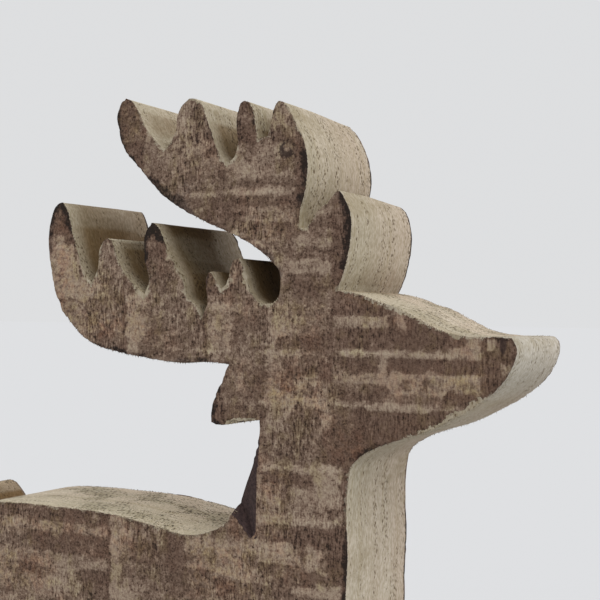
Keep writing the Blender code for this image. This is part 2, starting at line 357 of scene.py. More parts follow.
# How the stain lies on the faces, in millimetres where it is a length
stainLook = {
    "wander": (1.2, 0.8),
    "blockWidth": 17.0,
    "contrast": 0.95,
    "warmth": 0.9,
    "patchEdge": 0.5,
    "warmEdge": 4.0,
    "showsThrough": 0.25,
    "strength": {"neck": 1.25},
    "lift": {"lowerAntler": 0.13},
    "rimWidth": 3.0,
    "burntEdge": 3.5,
    "wornFrom": (0.35, 0.75),
}

# How a sawn side finds out that it is shut in, for its painted shade, within a reach in metres,
# how softly the painted shade and dirt end, and the stretch between the antlers with less
# painted shade
shadeAndDirtLook = {
    "reach": 0.030,
    "tilts": (-0.6, 0.0, 0.6),
    "shadeDirtEdge": 3.0,
    "lessShadeBox": (-8, 15, 184, 210),
    "lessShade": 0.45,
}


def copyOfSolid(nodeName, pieceName):
    bpy.ops.object.select_all(action="DESELECT")
    piece = bpy.data.objects.new(pieceName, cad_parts[nodeName].data.copy())
    piece.data.name = pieceName
    bpy.context.scene.collection.objects.link(piece)
    bpy.context.view_layer.objects.active = piece
    piece.select_set(True)
    bpy.ops.object.mode_set(mode="EDIT")
    bpy.ops.mesh.select_all(action="SELECT")
    bpy.ops.mesh.remove_doubles(threshold=reindeer["weldGap"])
    bpy.ops.object.mode_set(mode="OBJECT")
    return piece


# Points along the sawn outline, each with the way its side faces
def outlineSamples(mesh, step):
    samples = []
    rimAt = -reindeer["faceAt"] + reindeer["bevel"]
    seen = set()
    for polygon in mesh.polygons:
        if abs(polygon.normal.y) > 0.1:
            continue
        for first, second in polygon.edge_keys:
            a, b = mesh.vertices[first].co, mesh.vertices[second].co
            if (first, second) in seen or max(abs(a.y - rimAt), abs(b.y - rimAt)) > 0.0001:
                continue
            seen.add((first, second))
            count = max(1, round((b - a).length / step))
            for index in range(count):
                point = a.lerp(b, (index + 0.5) / count)
                samples.append((point.x, point.z, polygon.normal.x, polygon.normal.z))
    return np.array(samples)


def evenCells(piece):
    bpy.ops.object.select_all(action="DESELECT")
    piece.select_set(True)
    bpy.context.view_layer.objects.active = piece
    cells = piece.modifiers.new("Even cells", "REMESH")
    cells.mode = "SHARP"
    cells.octree_depth = reindeer["cellDepth"]
    cells.scale = reindeer["cellScale"]
    cells.sharpness = 1.0
    cells.use_remove_disconnected = False
    bpy.ops.object.modifier_apply(modifier=cells.name)
    frontAt = -reindeer["faceAt"] + reindeer["frontLayer"]
    for polygon in piece.data.polygons:
        polygon.select = polygon.center.y < frontAt and polygon.normal.y < -0.5
    bpy.ops.object.mode_set(mode="EDIT")
    bpy.ops.mesh.select_mode(type="FACE")
    bpy.ops.mesh.subdivide(number_cuts=1, smoothness=0.0)
    bpy.ops.object.mode_set(mode="OBJECT")


def readVectors(mesh, what):
    values = np.empty(len(mesh.vertices) * 3)
    mesh.vertices.foreach_get(what, values)
    return values.reshape(-1, 3)


# Noise of about -1 to 1 at each point, which is stretched first
def noiseAt(points, stretch, shift=0.0, detail=1):
    scaled = points * np.array(stretch) + shift
    values = np.zeros(len(points))
    for octave in range(detail):
        size = 2.0 ** octave
        values += [noise.noise(Vector(row)) / size for row in scaled * size]
    return values


# How far inside a box each point lies: 0 outside, 1 well inside, and between them at its edge
def boxWeight(x, z, box, edge):
    left, right, bottom, top = box
    inside = np.minimum(np.minimum(x - left, right - x), np.minimum(z - bottom, top - z))
    return np.clip(inside / edge + 0.5, 0, 1)


def rimTree(samples):
    rims = KDTree(len(samples))
    for index, sample in enumerate(samples):
        rims.insert((sample[0], 0, sample[1]), index)
    rims.balance()
    return rims


# The samples of the outline within this reach of a place on it
def samplesNear(samples, rims, x, z, reach):
    return samples[[hit[1] for hit in rims.find_range((x, 0, z), reach)]]


# How far the outline lies off its place on the far side, on the antler's last tines
def farRounding(samples, rims):
    rounding = np.zeros((len(samples), 2))
    fromX, fromZ = reindeer["lastTines"]
    for index, (x, z, outX, outZ) in enumerate(samples):
        if x < fromX or z < fromZ:
            continue
        alike = samplesNear(samples, rims, x, z, reindeer["backReach"] / 1000)
        alike = alike[alike[:, 2] * outX + alike[:, 3] * outZ > 0]
        rounding[index] = alike[:, :2].mean(axis=0) - (x, z)
    share = np.linalg.norm(rounding, axis=1) / reindeer["mostRounding"]
    return rounding / np.maximum(share, 1)[:, None]


# How far the sawn outline lies off its place at the back of the plank, in millimetres
def driftAt(x, z):
    moved = np.zeros((len(x), 2))
    for *box, alongX, alongZ in bladeDrift:
        moved += boxWeight(x, z, box, reindeer["driftEdge"])[:, None] * (alongX, alongZ)
    return moved


# Rounds off the facets of the outline, across the thickness at once, and leaves its corners
def smoothOutline(mesh, places, onOutline, gentle):
    edges = np.empty(len(mesh.edges) * 2, np.int32)
    mesh.edges.foreach_get("vertices", edges)
    edges = edges.reshape(-1, 2)
    edges = edges[onOutline[edges[:, 0]] & onOutline[edges[:, 1]]]
    ends = np.concatenate([edges, edges[:, ::-1]])
    count = len(places)
    degree = np.maximum(np.bincount(ends[:, 0], minlength=count), 1)
    for factor in reindeer["smoothing"] * reindeer["smoothingRounds"]:
        for axis in (0, 2):
            total = np.bincount(ends[:, 0], weights=places[ends[:, 1], axis], minlength=count)
            moved = np.where(onOutline, total / degree - places[:, axis], 0)
            places[:, axis] += factor * gentle * moved


# Smooths the outline, then rounds and shifts it towards the back as the blade did
def bendOutline(mesh, places, samples, rims, rounding, nearest, fromOutline):
    x, y, z = (places * 1000).T
    faceY = reindeer["faceAt"] * 1000
    reach = reindeer["cornerReach"]
    steadiness = np.array([
        np.linalg.norm(samplesNear(samples, rims, row[0], row[1], reach)[:, 2:].mean(axis=0))
        for row in samples
    ])
    gentle = np.clip((steadiness[nearest] - 0.90) / 0.06, 0, 1)
    smoothOutline(mesh, places, fromOutline < reindeer["onOutline"], gentle)
    start = reindeer["roundedFrom"]
    farSide = np.clip((y - start) / (faceY - start), 0, 1)
    farSide = farSide * np.clip(1 - fromOutline / reindeer["roundedWidth"], 0, 1)
    places[:, [0, 2]] += rounding[nearest] * farSide[:, None]
    towardsBack = np.clip((y + faceY) / (2 * faceY), 0, 1)
    places[:, [0, 2]] += driftAt(x, z) * (towardsBack / 1000)[:, None]


# The split at the nape: its slanted floor, its lower wall, the shallow step that runs on
# above it, and its blunt foot. It returns which points lie in it
def shapeSplit(places, normals):
    flat = places * 1000
    x, y, z = flat.T
    frontY = -reindeer["faceAt"] * 1000
    foot, corner, top = splitPlace["foot"], splitPlace["corner"], splitPlace["top"]
    floorReach, wallReach, alike = 0.35, 0.8, 0.55
    way = np.array([-splitPlace["depth"], corner[0] - foot[0]])
    way = way / np.linalg.norm(way)
    height = (x - foot[0]) * way[0] + (y - frontY) * way[1]
    split = ((np.abs(height) < floorReach)
             & (normals[:, 0] * way[0] + normals[:, 1] * way[1] > alike)
             & (z > foot[1] - 1) & (z < top + 1) & (x < foot[0] + 0.3) & (x > corner[0] - 1))

    edge = np.array([corner[0] - foot[0], 0, corner[1] - foot[1]], float)
    floorWay = np.array([way[0], way[1], 0])
    along = edge - floorWay * edge.dot(floorWay)
    wallWay = np.cross(along / np.linalg.norm(along), floorWay)
    wallHeight = (flat - (foot[0], frontY, foot[1])) @ wallWay
    split |= ((np.abs(wallHeight) < wallReach) & (normals @ wallWay > alike)
              & (y > frontY - 0.1) & (y < frontY + 6)
              & (z > foot[1] - 1) & (z < corner[1] + 2.5)
              & (x < foot[0] + 0.6) & (x > corner[0] - 1.2))

    slope = splitPlace["depth"] / (foot[0] - corner[0])
    edgeX = foot[0] + np.maximum(z - corner[1], 0) * splitPlace["lean"]
    upHere = (x > 20) & (z > foot[1]) & (z < splitPlace["runsOnTo"])
    shallow = np.clip((splitPlace["runsOnTo"] - z) / 3, 0, 1)
    newly = (y < frontY + 0.5) & (x < edgeX) & upHere & ~split & (z > corner[1] + 1.5)
    places[:, 1] += np.where(newly, (edgeX - x) * slope * shallow, 0) / 1000
    behind = upHere & (x < foot[0] + 0.05) & ~newly
    deeper = (edgeX - foot[0]) * slope * np.clip((frontY + 8 - y) / 3, 0, 1)
    places[:, 1] += np.where(behind, deeper, 0) / 1000
    split |= newly

    tip = ((np.abs(z - foot[1]) < splitPlace["bluntness"])
           & (np.abs(x - foot[0] + 1.5) < 2.6) & (y < frontY + 2))
    places[tip, 1] = frontY / 1000
    return split & ~tip


def swellNape(places):
    x, z = places[:, 0] * 1000, places[:, 2] * 1000
    low, high = napeSwell["bottom"], napeSwell["top"]
    swell = np.sin(math.pi * np.clip((z - low) / (high - low), 0, 1)) ** 1.5
    swell = swell * np.clip((napeSwell["right"] - x) / 5, 0, 1) * (x > napeSwell["left"])
    places[:, 0] -= napeSwell["most"] * swell / 1000


# The stain's own bands under its patches: where they lie, how light they are and how warm
def stainBands(flat):
    x, y, z = flat.T
    wanderX, wanderZ = stainLook["wander"]
    x = x + noiseAt(flat, (0.40, 0.40, 0.35), 11.3, 3) * wanderX
    z = z + noiseAt(flat, (0.25, 0.25, 0.50), 47.1, 3) * wanderZ
    blocks = np.floor(x / stainLook["blockWidth"] + 0.35 * np.sin(x * 0.11))
    banded = np.column_stack([x * 0.045 + blocks * 5.3, y * 0.01, z * 0.22 + blocks * 1.7])
    tone = noiseAt(banded, (1, 1, 1), 3.7, 2) * stainLook["contrast"]
    warm = noiseAt(flat, (0.05, 0.05, 0.07), 90.2, 2) * stainLook["warmth"]
    return x, z, tone, np.clip(warm, 0, 1)


def stainAt(flat):
    front = flat[:, 1] < 0
    x, z, tone, warm = stainBands(flat)
    for region, patches in stainPatches.items():
        strength = stainLook["strength"].get(region, 1.0)
        lift = stainLook["lift"].get(region, 0.0)
        for *box, patchTone in patches:
            weight = boxWeight(x, z, box, stainLook["patchEdge"]) * front
            patchTone = strength * patchTone + lift + stainLook["showsThrough"] * tone
            tone = tone * (1 - weight) + patchTone * weight
    for *box, amount in warmPatches:
        weight = boxWeight(x, z, box, stainLook["warmEdge"]) * front
        warm = np.maximum(warm * (1 - 0.5 * weight), amount * weight)
    return np.clip(tone, -1, 1), warm


# How worn the rim is: above 0.5 it is bare, and below 0.5 it is burnt
def wearAt(flat, outward):
    x, z = flat[:, 0], flat[:, 2]
    worn = 0.35 + 0.5 * outward @ np.array(stainLook["wornFrom"])
    worn = worn + 0.5 * noiseAt(flat, (0.12, 0.12, 0.12), 8.8, 2)
    worn = 0.5 + 0.3 * np.clip(worn, -0.6, 1)
    patchy = np.clip(0.85 + 0.7 * noiseAt(flat, (0.22, 0.22, 0.22), 14.6, 2), 0.35, 1.1)
    for *box, amount in burntRims:
        weight = boxWeight(x, z, box, stainLook["burntEdge"])
        worn = worn * (1 - weight) + (0.5 - 0.5 * amount * patchy) * weight
    return worn


# Painted shade and dirt on the sawn sides: how shut in each point is, plus the listed places
# that add or take away painted shade and dirt
def shadeAndDirtAt(mesh, flat, places, normals, onSide):
    x, y, z = flat.T
    around = BVHTree.FromPolygons([Vector(row) for row in places],
                                  [polygon.vertices[:] for polygon in mesh.polygons])
    cavity = np.zeros(len(places))
    reach, tilts, edge = shadeAndDirtLook["reach"], shadeAndDirtLook["tilts"], shadeAndDirtLook["shadeDirtEdge"]
    # Painted shade: short rays from each point tell how much wood lies near enough to shut it
    # in
    for index in np.flatnonzero(onSide):
        start, way = Vector(places[index]), Vector(normals[index])
        shut = 0.0
        for tilt in tilts:
            turned = Vector((way.x - tilt * way.z, way.y, way.z + tilt * way.x)).normalized()
            hit = around.ray_cast(start + turned * 0.0008, turned, reach)
            if hit[0] is not None:
                shut += 1 - hit[3] / reach
        cavity[index] = shut / len(tilts)
    # The listed places add painted shade and dirt, or take it away below 0
    for *box, amount in shadeAndDirtPlaces:
        cavity += amount * boxWeight(x, z, box, edge) * onSide
    # Less painted shade towards the back, between the antlers
    lessShadeHere = shadeAndDirtLook["lessShade"] * boxWeight(x, z, shadeAndDirtLook["lessShadeBox"], edge)
    cavity -= lessShadeHere * np.clip((y - 4) / 5, 0, 1) * onSide
    return np.clip(cavity, 0, 1)


# The slow wander of the saw's lines along the face
def warpLine(x):
    return 0.35 * np.sin(x * 0.09) + 0.25 * np.sin(x * 0.31 + 1.0)


# How far the rough face lies under the plank's own, in millimetres
def faceSink(flat, tone):
    x, z = flat[:, 0], flat[:, 2]
    wander = noiseAt(flat, (0.02, 0.02, 0.05), 5.0) * 3.0
    bands = 0.5 - 0.5 * np.cos(2 * math.pi * (z + wander) / reindeer["sawPitch"])
    rough = noiseAt(flat, (0.9, 0.9, 0.35), 23.0, 2)
    sink = (reindeer["sawDepth"] * bands + reindeer["roughness"] * (0.5 + rough)
            - reindeer["stainDepth"] * tone + 0.06)
    for ridgeAt, left, right in sawRidges:
        ridge = np.exp(-((z + warpLine(x) - ridgeAt) / 0.7) ** 2) * ((x > left) & (x < right))
        sink = sink - reindeer["ridgeHeight"] * ridge
    return np.clip(sink, 0, reindeer["mostSink"])


# How far the sawn side stands out, in millimetres
def sideProud(flat):
    x, y, z = flat.T
    waves = noiseAt(np.column_stack([x, y * 0.05, z]), (0.55, 1, 0.55), 61.0, 2)
    pits = noiseAt(flat, (0.7, 0.7, 0.25), 77.0, 2)
    return reindeer["sideWaves"] * (waves + 0.7 * pits) - 0.05


# The rims are nibbled, more where the grain ends in them, and the near edge is chipped
def wearRims(places, flat, fromOutline, outward):
    x, y, z = flat.T
    faceY = reindeer["faceAt"] * 1000
    nibble = np.clip(noiseAt(flat, (0.8, 0.8, 0.8), 31.0, 2) + 0.15, 0, 1)
    loss = nibble * reindeer["rimNibble"] * (0.5 + np.abs(outward[:, 1]))
    across, down = reindeer["nibbleWidth"]
    nearRim = (fromOutline < across) & (np.abs(y) > faceY - down) & (z > 0.6)
    away = np.column_stack([outward[:, 0], np.zeros(len(flat)), outward[:, 1]])
    places[nearRim] -= (away * loss[:, None] / 1000)[nearRim]
    for chipX, chipZ, radius, depth in edgeChips:
        reachTo = np.hypot(x - chipX, z - chipZ) / radius
        weight = np.clip(1 - reachTo, 0, 1) * (y < -faceY + reindeer["chipWidth"])
        places[:, 1] += weight * depth / 1000
        places[:, 2] -= weight * depth * 0.5 / 1000


def writeMarks(mesh, marks):
    for name, channels in marks.items():
        layer = mesh.color_attributes.new(name=name, type="FLOAT_COLOR", domain="POINT")
        values = np.column_stack([*channels, np.ones(len(mesh.vertices))])
        layer.data.foreach_set("color", values.astype(np.float32).reshape(-1))


def paintAndShape(piece, samples, rims, rounding):
    mesh = piece.data
    places, normals = readVectors(mesh, "co"), readVectors(mesh, "normal")
    found = [rims.find((row[0], 0, row[2])) for row in places]
    fromOutline = np.array([hit[2] for hit in found]) * 1000
    nearest = [hit[1] for hit in found]
    outward = samples[nearest][:, 2:]
    bendOutline(mesh, places, samples, rims, rounding, nearest, fromOutline)
    split = shapeSplit(places, normals)
    swellNape(places)

    flat = places * 1000
    y, z = flat[:, 1], flat[:, 2]
    onFace = np.abs(y) > reindeer["faceAt"] * 1000 - reindeer["faceLayer"]
    tone, warm = stainAt(flat)
    rim = np.clip(1 - fromOutline / stainLook["rimWidth"], 0, 1)
    worn = wearAt(flat, outward)
    # Painted shade and dirt for the sawn sides, from how shut in they are
    cavity = shadeAndDirtAt(mesh, flat, places, normals, ~onFace)

    # Relief: inwards on the two faces, along the normal on the sawn sides
    stained = onFace & ~split
    sawn = ~onFace & ~split & (z > reindeer["flatFoot"])
    places[stained, 1] -= (np.sign(y) * faceSink(flat, tone) / 1000)[stained]
    places[sawn] += (normals * sideProud(flat)[:, None] / 1000)[sawn]
    wearRims(places, flat, fromOutline, outward)
    mesh.vertices.foreach_set("co", places.reshape(-1))
    mesh.update()
    writeMarks(mesh, {
        "stainMarks": (0.5 + 0.5 * tone, rim, warm),
        "shapeMarks": (cavity, split.astype(float), worn),
    })


# Torn fibres on the rims, where the grain ends in the outline, in millimetres
fibreLook = {
    "perMillimetre": 3.0,
    "spacing": 0.4,              # the step between samples of the outline
    "length": (0.10, 0.50),
    "width": (0.12, 0.30),
    "lean": 0.25,
    "rootedBy": 0.5,
    "least": 0.35,               # how far up or down an outline with fibres faces
    "above": 12.0,
    "charredFrom": 0.8,
}


def addFibres(samples, rounding):
    chance = random.Random(reindeer["seed"])
    points, faces, tones, wear = [], [], [], []
    spacing, root, mostLean = fibreLook["spacing"], fibreLook["rootedBy"], fibreLook["lean"]
    low, high = fibreLook["length"]
    moved = rounding + driftAt(samples[:, 0] * 1000, samples[:, 1] * 1000) / 1000
    for (x, z, outX, outZ), (offX, offZ) in zip(samples, moved):
        here = [amount for left, right, bottom, top, amount in burntRims
                if left < x * 1000 < right and bottom < z * 1000 < top]
        charred = max(here, default=0) > fibreLook["charredFrom"]
        if abs(outZ) < fibreLook["least"] or z < fibreLook["above"] / 1000 or charred:
            continue
        bare = min(here, default=0) < 0
        for side in (-1, 1):
            wanted = fibreLook["perMillimetre"] * spacing * abs(outZ)
            for _ in range(int(wanted) + (chance.random() < wanted % 1)):
                length = low + (high - low) * chance.random() ** 3
                if outZ > 0:
                    length *= 0.5
                width = chance.uniform(*fibreLook["width"])
                along = (chance.random() - 0.5) * spacing
                rimX = x * 1000 - outZ * along + (side > 0) * offX * 1000
                rimZ = z * 1000 + outX * along + (side > 0) * offZ * 1000
                baseX, baseZ = rimX - root * outX, rimZ - root * outZ
                baseY = side * (reindeer["faceAt"] * 1000 - 0.25 - chance.random() * 0.7)
                lean = chance.uniform(-mostLean, mostLean)
                first = len(points)
                tip = (rimX + (lean + 0.2 * outX) * length,
                       baseY + side * chance.uniform(-0.1, 0.25) * length,
                       rimZ + math.copysign(length, outZ))
                turn = chance.random() * math.tau
                for corner in range(3):
                    angle = turn + corner * math.tau / 3
                    points.append((baseX + width * math.cos(angle),
                                   baseY + width * math.sin(angle), baseZ))
                points.append(tip)
                ring = [first, first + 1, first + 2]
                if outZ < 0:
                    ring.reverse()
                faces.append(tuple(reversed(ring)))
                for corner in range(3):
                    faces.append((ring[corner], ring[(corner + 1) % 3], first + 3))
                tones += [0.7 if bare else 0.22 if outZ < 0 else 0.45] * 4
                wear += [1.0 if bare else 0.4] * 4
    mesh = bpy.data.meshes.new("fibres")
    mesh.from_pydata([(a / 1000, b / 1000, c / 1000) for a, b, c in points], [], faces)
    mesh.update()
    ones, zeros = np.ones(len(points)), np.zeros(len(points))
    writeMarks(mesh, {"stainMarks": (tones, ones, zeros), "shapeMarks": (zeros, zeros, wear)})
    fibres = bpy.data.objects.new("fibres", mesh)
    bpy.context.scene.collection.objects.link(fibres)
    return fibres


# Noises in the wood: repeats in a metre along x, y and z, detail, roughness, shift
woodNoises = {
    "streaks": ((1250, 1250, 1150), 2.0, 0.65),
    "fibres": ((2300, 2300, 480), 1.0, 0.5, (7, 5, 2)),
    "specks": ((2300, 2300, 2200), 1.0, 0.5, (5, 3, 1)),
    "flecks": ((1000, 1000, 900), 2.0, 0.7, (3, 8, 6)),
    "ragged": ((560, 560, 660), 4.0, 0.7, (9, 2, 4)),
    "mottle": ((230, 230, 380), 3.0, 0.6, (4, 4, 9)),
    "combing": ((60, 60, 45), 1.0, 0.5, (2, 2, 5)),
    "ridgeGaps": ((70, 70, 30), 2.0, 0.6),
    "hueSpecks": ((230, 230, 150), 4.0, 0.65, (2, 7, 8)),
    "clouds": ((60, 60, 22), 3.0, 0.6, (3, 3, 3)),
    "fine": ((1600, 1600, 620), 2.0, 0.6, (1, 8, 5)),
    "crumbs": ((1500, 1500, 900), 3.0, 0.75, (8, 8, 2)),
    "clusters": ((130, 90, 50), 3.0, 0.6, (2, 9, 6)),
    "grainLines": ((20, 560, 12), 2.0, 0.6, (6, 1, 4)),
    "poreLines": ((60, 300, 22), 3.0, 0.6, (4, 6, 1)),
    "smudge": ((70, 25, 60), 4.0, 0.7, (7, 7, 1)),
    "scatter": ((90, 60, 90), 3.0, 0.6, (1, 4, 3)),
}

# The stain from darkest to palest
stainRamp = [
    (0.04, (44, 33, 25)), (0.22, (81, 62, 50)), (0.40, (106, 86, 72)),
    (0.56, (127, 107, 92)), (0.74, (150, 131, 113)), (0.97, (176, 159, 139)),
]
woodColours = {
    "knot": (52, 39, 33),
    "slot": (50, 37, 34),
    "splitDark": (50, 38, 37),
    "splitPale": (74, 58, 55),
    "sawnNear": (177, 167, 147),
    "sawnFar": (185, 170, 152),
    "sawnCloud": (190, 179, 161),
    "sawnSnout": (192, 188, 178),
    "smudge": (140, 125, 95),
    "moss": (150, 139, 110),
    "sidePore": (98, 80, 55),
    "topPore": (74, 62, 42),
}
woodTints = {
    "reddish": (1.10, 0.95, 0.92),
    "olive": (0.99, 1.02, 0.85),
    "orange": (1.09, 1.0, 0.82),
    "plum": (1.02, 0.98, 0.99),
    "bluish": (0.69, 0.74, 0.82),
    "brow": (1.03, 1.035, 1.055),
    # painted light on faces that look up
    "top": (1.41, 1.42, 1.43),
    # painted shade on faces that look down
    "shadedUnderside": (0.79, 0.78, 0.76),
    "darker": (0.77, 0.74, 0.67),
    "lighter": (1.08, 1.08, 1.08),
    "greyLine": (0.90, 0.88, 0.81),
    "lightLine": (1.05, 1.05, 1.04),
    # painted shade and dirt where the sawn sides are shut in
    "shadeDirtTint": (0.40, 0.30, 0.18),
}

# How strongly each mark shows in the stain, and on the sawn sides
stainMix = {
    "patchEdges": 1.25, "mottle": 1.05, "streaks": 0.80, "specks": 0.60,
    "paleFlecks": 0.12, "darkFlecks": 0.24, "darkGrit": 1.08, "paleGrit": 0.70,
    "brightness": 0.045, "ridges": 0.22, "olive": 0.75, "plum": 0.8, "bluish": 2.6,
    "knot": 0.88, "slot": 0.72, "knotRaggedness": 0.95, "slotRaggedness": 0.35,
}
sawnMix = {
    "clouds": 0.8, "snout": 0.6, "headTopLight": 0.42, "greyLines": 0.70, "lightLines": 0.50,
    "sidePores": 0.85, "smudges": 0.45, "moss": 0.45, "topPores": 0.95,
}
woodSkin = {"roughness": 0.88, "shine": 0.25, "bumpStrength": 0.7, "bumpDepth": 0.0005}


def woodColour(name):
    return colour(*woodColours[name])


def tinted(tree, shade, name):
    return blend(tree, 1.0, shade, (*woodTints[name], 1), "MULTIPLY")


def tintBy(tree, amount, shade, name):
    return blend(tree, amount, shade, tinted(tree, shade, name))


def offCentre(tree, value):
    return sumUp(tree, "SUBTRACT", value, 0.5)


def partsOf(tree, kind, source):
    node = tree.nodes.new(kind)
    tree.links.new(source, node.inputs[0])
    return node.outputs


def marksOf(tree, name):
    node = tree.nodes.new("ShaderNodeAttribute")
    node.attribute_name = name
    return partsOf(tree, "ShaderNodeSeparateColor", node.outputs["Color"])


# All that the wood is mixed from: places, facings, painted marks and noises
def woodSources(tree):
    place = tree.nodes.new("ShaderNodeTexCoord").outputs["Object"]
    normal = tree.nodes.new("ShaderNodeNewGeometry").outputs["Normal"]
    wood = SimpleNamespace(place=place)
    wood.alongX, wood.alongY, wood.alongZ = partsOf(tree, "ShaderNodeSeparateXYZ", place)
    wood.facing = partsOf(tree, "ShaderNodeSeparateXYZ", normal)
    wood.tone, wood.rim, wood.warm = marksOf(tree, "stainMarks")
    wood.cavity, wood.split, wood.worn = marksOf(tree, "shapeMarks")
    for name, look in woodNoises.items():
        setattr(wood, name, grainNoise(tree, place, *look))
    wood.nearRim = timesPlus(tree, offCentre(tree, wood.ragged), 1.5, wood.rim)
    return wood


# The saw's ridges, as light lines that wander along the face and break off in places
def ridgeLines(tree, wood):
    sway = sumUp(tree, "SINE", times(tree, wood.alongX, 90.0))
    torn = times(tree, offCentre(tree, wood.ragged), 0.0022)
    wander = timesPlus(tree, sway, 0.00035, torn)
    perMillimetre, halfWidth = 0.004, 0.8
    level = times(tree, plus(tree, wood.alongZ, wander), 4.0)
    black, white = (0, 0, 0, 1), (1, 1, 1, 1)
    stops = []
    for ridgeAt, left, _ in sorted(sawRidges):
        if left < -90:
            continue
        for offset, shade in ((-halfWidth, black), (0.0, white), (halfWidth, black)):
            stops.append(((ridgeAt + offset) * perMillimetre, shade))
    gaps = remap(tree, wood.ridgeGaps, 0.40, 0.60, 0.0, stainMix["ridges"])
    return times(tree, rampOf(tree, level, stops), gaps)


# How light the stain is: short streaks along the grain, specks, and ragged edges to patches
def stainShade(tree, wood):
    mix = stainMix
    shade = timesPlus(tree, offCentre(tree, wood.ragged), mix["patchEdges"], wood.tone)
    shade = timesPlus(tree, offCentre(tree, wood.mottle), mix["mottle"], shade)
    shade = remap(tree, shade, 0.09, 0.91, 0.285, 0.715)
    combed = remap(tree, wood.combing, 0.40, 0.60, 0.35, 1.15)
    grit = times(tree, offCentre(tree, wood.streaks), mix["streaks"])
    grit = timesPlus(tree, offCentre(tree, wood.fibres), combed, grit)
    grit = timesPlus(tree, offCentre(tree, wood.specks), mix["specks"], grit)
    paleFlecks = remap(tree, wood.flecks, 0.58, 0.72, 0.0, mix["paleFlecks"])
    darkFlecks = remap(tree, wood.flecks, 0.42, 0.28, 0.0, mix["darkFlecks"])
    grit = sumUp(tree, "SUBTRACT", plus(tree, grit, paleFlecks), darkFlecks)
    grit = times(tree, grit, remap(tree, wood.alongX, 0.050, 0.066, 1.20, 0.80))
    grit = times(tree, grit, remap(tree, shade, 0.56, 0.68, 1.0, 0.72))
    grit = sumUp(tree, "MINIMUM", times(tree, grit, mix["darkGrit"]),
                 times(tree, grit, mix["paleGrit"]))
    calm = remap(tree, shade, 0.32, 0.48, 0.78, 1.0)
    shade = timesPlus(tree, grit, calm, plus(tree, shade, mix["brightness"]))
    return plus(tree, shade, ridgeLines(tree, wood))


# How much darker the stain is where its rim is burnt
def rimDarkness(tree, wood):
    burnt = remap(tree, wood.worn, 0.42, 0.02)
    charred = remap(tree, wood.worn, 0.0, -0.40)
    start = timesPlus(tree, burnt, -0.62, 0.86)
    start = timesPlus(tree, charred, -0.45, start)
    end = timesPlus(tree, burnt, 0.28, plus(tree, start, 0.22))
    most = timesPlus(tree, burnt, 0.26, 0.08)
    return times(tree, remap(tree, wood.nearRim, start, end), most)


# How far a point of the near face lies from an oval mark's middle, in parts of its size
def ovalAt(tree, wood, mark, width, height, raggedness):
    offX = sumUp(tree, "SUBTRACT", wood.alongX, mark["x"] / 1000)
    offZ = sumUp(tree, "SUBTRACT", wood.alongZ, mark["z"] / 1000)
    offX = sumUp(tree, "DIVIDE", offX, width / 1000)
    offZ = sumUp(tree, "DIVIDE", offZ, height / 1000)
    squares = timesPlus(tree, offX, offX, times(tree, offZ, offZ))
    torn = plus(tree, offCentre(tree, wood.specks), offCentre(tree, wood.ragged))
    distance = timesPlus(tree, torn, raggedness, sumUp(tree, "SQRT", squares))
    return plus(tree, distance, remap(tree, wood.alongY, -0.012, 0.0, 0.0, 9.0))


# The knot on the upper antler and the slot by the snout
def addKnotAndSlot(tree, wood, stained):
    radius = knotPlace["radius"]
    knot = ovalAt(tree, wood, knotPlace, radius, radius * knotPlace["stretch"],
                  stainMix["knotRaggedness"])
    ring = times(tree, remap(tree, knot, 0.42, 0.66), remap(tree, knot, 1.50, 1.10))
    openFrom, openTo = knotPlace["openBetween"]
    upRight = plus(tree, wood.alongX, wood.alongZ)
    openSide = remap(tree, upRight, openFrom, openTo, 1.0, 0.35)
    ring = times(tree, ring, times(tree, openSide, stainMix["knot"]))
    stained = blend(tree, ring, stained, woodColour("knot"))
    slot = ovalAt(tree, wood, slotPlace, slotPlace["width"], slotPlace["height"],
                  stainMix["slotRaggedness"])
    dark = remap(tree, slot, 1.20, 0.85, 0.0, stainMix["slot"])
    return blend(tree, dark, stained, woodColour("slot"))


def stainColour(tree, wood):
    rimDark = rimDarkness(tree, wood)
    shade = sumUp(tree, "SUBTRACT", stainShade(tree, wood), rimDark)
    stained = rampOf(tree, shade, [(position, colour(*rgb)) for position, rgb in stainRamp])
    reddish = tinted(tree, stained, "reddish")
    olive = remap(tree, wood.hueSpecks, 0.50, 0.66, 0.0, stainMix["olive"])
    stained = tintBy(tree, olive, stained, "olive")
    redness = times(tree, remap(tree, wood.hueSpecks, 0.50, 0.36),
                    plus(tree, wood.warm, 0.12), clamp=True)
    stained = blend(tree, redness, stained, reddish)
    warmth = times(tree, wood.warm, remap(tree, wood.ragged, 0.40, 0.62), clamp=True)
    stained = tintBy(tree, warmth, stained, "orange")
    darkest = remap(tree, wood.tone, 0.35, 0.12, 0.0, stainMix["plum"])
    stained = tintBy(tree, darkest, stained, "plum")
    sooty = times(tree, rimDark, stainMix["bluish"], clamp=True)
    stained = tintBy(tree, sooty, stained, "bluish")
    return addKnotAndSlot(tree, wood, stained)
